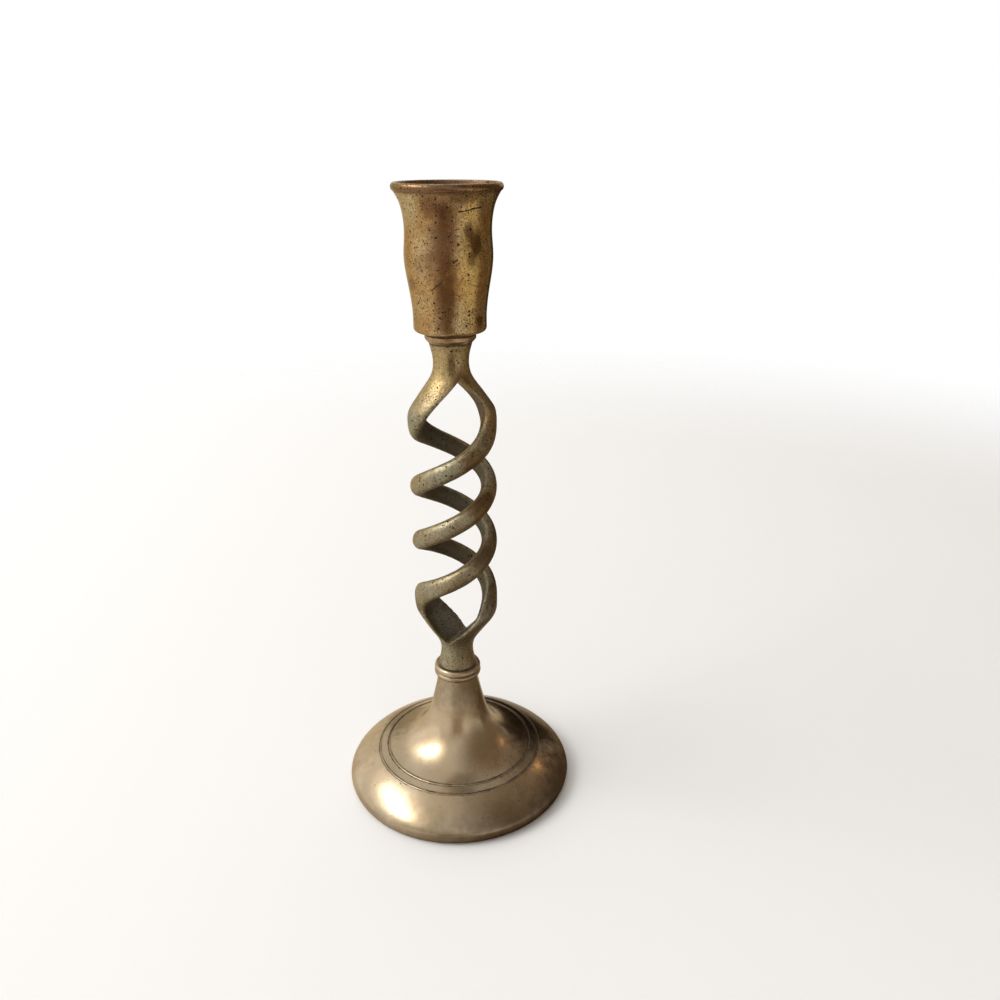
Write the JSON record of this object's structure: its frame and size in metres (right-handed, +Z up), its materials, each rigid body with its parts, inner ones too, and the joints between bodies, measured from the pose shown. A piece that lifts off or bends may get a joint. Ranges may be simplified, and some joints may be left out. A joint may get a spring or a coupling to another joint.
{
  "type": "spiral candle holder",
  "caption": "Aged brass candlestick with a round domed foot, a beaded ring, an open right-hand twist stem, a small collar and a flared cup for a dinner candle.",
  "frame": {"origin": "on the table surface, at the middle of the foot's rim", "axes": "+Z up along the axis of the cup, the stem and the foot; -Y is the side that faces the viewer of the picture; +X is to that viewer's right"},
  "size_m": [0.089, 0.089, 0.23],
  "materials": {
    "foot_brass": "satin, pale worn brass with fine pits",
    "stem_brass": "aged cast brass, brown in the hollows",
    "cup_brass": "aged half-polished brass with dark specks",
    "fastener_steel": "dull steel hardware"
  },
  "bodies": {
    "root": {"foot": "foot_brass", "knop_ring": "stem_brass", "twist_stem": "stem_brass", "tie_rod": "fastener_steel", "tie_washer": "fastener_steel", "tie_nut": "fastener_steel", "cup_stud": "fastener_steel", "cup_collar": "cup_brass", "candle_cup": "cup_brass"}
  },
  "joints": []
}
